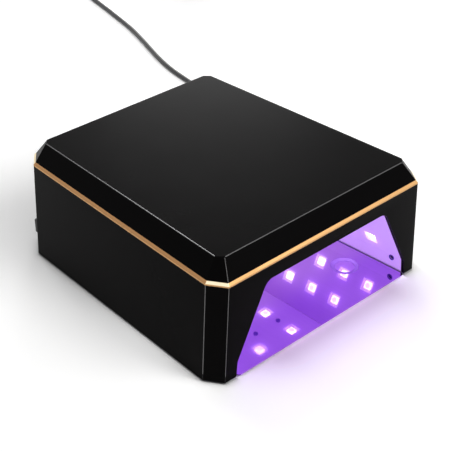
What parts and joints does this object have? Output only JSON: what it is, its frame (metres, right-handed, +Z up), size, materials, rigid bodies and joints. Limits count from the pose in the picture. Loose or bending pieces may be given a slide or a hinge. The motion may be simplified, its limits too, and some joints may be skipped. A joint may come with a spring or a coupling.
{
  "type": "nail lamp",
  "caption": "Curing lamp for nails with a slanted hand opening, lit walls, a slide-out mirror tray, a rear rocker switch, and a low-voltage lead with its coil and wall adapter.",
  "frame": {"origin": "centre of the lamp's footprint box, without its lead, on the surface that it stands on", "axes": "+X to the lamp's right as seen from the front, +Y to the back, +Z up; the hand opening faces -Y"},
  "size_m": [0.4526, 0.6368, 0.086],
  "materials": {
    "shell": "gloss black moulding",
    "trim": "gold plated band",
    "base_black": "fine textured black moulding",
    "screw": "black zinc",
    "reflector": "satin white moulding",
    "light_board": "white solder mask on aluminium",
    "light": "lit light package",
    "circuit_board": "green board",
    "circuit_parts": "moulded components",
    "spacer": "turned brass",
    "sensor": "smoked lens",
    "steel": "nickel plated",
    "switch_black": "semi-gloss black",
    "contact": "tinned brass",
    "power_wire": "wire insulation",
    "signal_wire": "wire insulation",
    "rubber": "soft black rubber",
    "tray_mirror": "mirror finish plate",
    "lead_black": "satin black sheath",
    "tie": "woven black band",
    "adapter": "fine textured black moulding"
  },
  "bodies": {
    "root": {"body_shell": "shell", "top_cover": "shell", "gold_trim": "trim", "bottom_cover": "base_black", "cover_screws": "screw", "ceiling_reflector": "reflector", "left_reflector": "reflector", "right_reflector": "reflector", "back_reflector": "reflector", "ceiling_board": "light_board", "left_board": "light_board", "right_board": "light_board", "ceiling_leds": "light", "left_leds": "light", "right_leds": "light", "ceiling_screws": "screw", "control_board": "circuit_board", "control_parts": "circuit_parts", "board_spacers": "spacer", "board_screws": "screw", "sensor_emitter": "sensor", "sensor_receiver": "sensor", "power_jack": "switch_black", "jack_nut": "steel", "switch_housing": "switch_black", "switch_terminals": "contact", "power_wires": "power_wire", "light_wires": "signal_wire", "sensor_wires": "signal_wire", "feet": "rubber", "tray_magnets": "steel", "plug": "lead_black", "cord_run": "lead_black", "cord_coil": "lead_black", "cord_tail": "lead_black", "cord_tie": "tie", "adapter_case": "adapter", "adapter_cover": "adapter", "adapter_blades": "steel"},
    "tray": {"tray": "tray_mirror", "tray_pads": "rubber"},
    "rocker": {"switch_rocker": "switch_black"}
  },
  "joints": [
    {"name": "tray_slide", "type": "slide", "parent": "root", "child": "tray", "axis": [0, -1, 0], "range_m": [0, 0.17]},
    {"name": "switch_rock", "type": "hinge", "parent": "root", "child": "rocker", "pos_m": [-0.0713, 0.10101, 0.0118], "axis": [0, 0, 1], "range_deg": [0, 24]}
  ]
}
